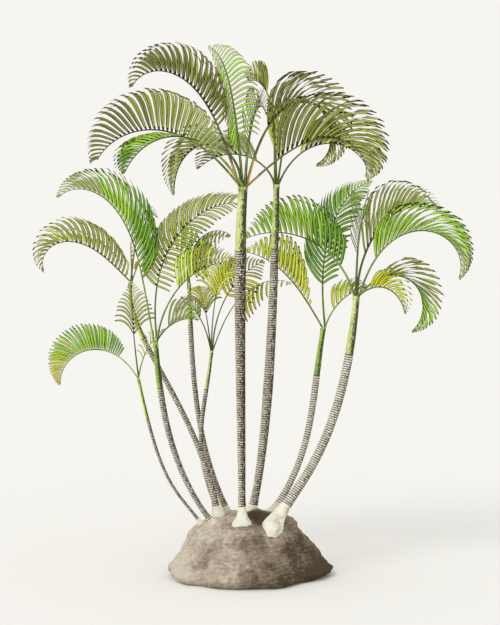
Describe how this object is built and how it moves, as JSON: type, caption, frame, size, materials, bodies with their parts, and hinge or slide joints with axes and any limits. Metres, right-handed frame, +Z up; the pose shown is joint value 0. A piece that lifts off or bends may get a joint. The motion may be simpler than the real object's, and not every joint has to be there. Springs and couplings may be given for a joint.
{
  "type": "areca palm on a root ball",
  "caption": "Clumping feather palm: ringed canes lean out of a lump of earth, each with a waxy crownshaft and a crown of arching fronds.",
  "frame": {"origin": "centre of the root ball's flat underside", "axes": "+Z up, +X to the right and +Y to the back as the picture shows the clump"},
  "size_m": [3.8569, 2.4704, 4.566],
  "materials": {
    "earth": "matte",
    "cane_bark": "matte",
    "shaft_wax": "satin",
    "leaf_dark_olive": "satin",
    "leaf_olive": "satin",
    "leaf_pale_olive": "satin",
    "leaf_bright_green": "satin",
    "leaf_deep_green": "satin",
    "leaf_yellow_green": "satin",
    "leaf_yellow": "satin"
  },
  "bodies": {
    "root": {"root_ball": "earth", "cane_1": "cane_bark", "cane_2": "cane_bark", "cane_3": "cane_bark", "cane_4": "cane_bark", "cane_5": "cane_bark", "cane_6": "cane_bark", "cane_7": "cane_bark", "cane_8": "cane_bark", "cane_9": "cane_bark", "crownshaft_1": "shaft_wax", "crownshaft_2": "shaft_wax", "crownshaft_3": "shaft_wax", "crownshaft_4": "shaft_wax", "crownshaft_5": "shaft_wax", "crownshaft_6": "shaft_wax", "crownshaft_7": "shaft_wax", "crownshaft_8": "shaft_wax", "crownshaft_9": "shaft_wax", "frond_6_high_left_inner": "leaf_dark_olive", "frond_6_high_left_outer": "leaf_dark_olive", "frond_6_broad_left_inner": "leaf_olive", "frond_6_broad_left_outer": "leaf_olive", "frond_6_under_left": "leaf_bright_green", "frond_6_upright": "leaf_bright_green", "frond_6_drooping_left": "leaf_olive", "frond_6_curled_right_inner": "leaf_dark_olive", "frond_6_curled_right_outer": "leaf_dark_olive", "frond_6_broad_right_inner": "leaf_pale_olive", "frond_6_broad_right_outer": "leaf_pale_olive", "frond_6_back": "leaf_deep_green", "frond_7_upright": "leaf_olive", "frond_7_left": "leaf_olive", "frond_7_right": "leaf_dark_olive", "frond_7_inner": "leaf_yellow_green", "frond_7_back": "leaf_bright_green", "frond_2_high_left": "leaf_deep_green", "fronds_2_right": "leaf_olive", "frond_2_front_right": "leaf_yellow_green", "frond_1_left_inner": "leaf_deep_green", "frond_1_left_outer": "leaf_deep_green", "fronds_1_upright": "leaf_yellow_green", "frond_3_left_inner": "leaf_olive", "frond_3_left_outer": "leaf_olive", "fronds_3_spears": "leaf_yellow", "frond_3_back": "leaf_deep_green", "frond_4_left": "leaf_yellow_green", "fronds_4_right": "leaf_yellow_green", "fronds_5_left": "leaf_pale_olive", "fronds_5_right": "leaf_yellow", "frond_8_left": "leaf_yellow_green", "fronds_8_right": "leaf_bright_green", "frond_9_left": "leaf_bright_green", "frond_9_high_right": "leaf_dark_olive", "frond_9_broad_right_inner": "leaf_bright_green", "frond_9_broad_right_outer": "leaf_bright_green", "frond_9_drooping_right_inner": "leaf_deep_green", "frond_9_drooping_right_outer": "leaf_deep_green", "frond_9_low_front": "leaf_yellow_green", "frond_9_back": "leaf_olive"}
  },
  "joints": []
}
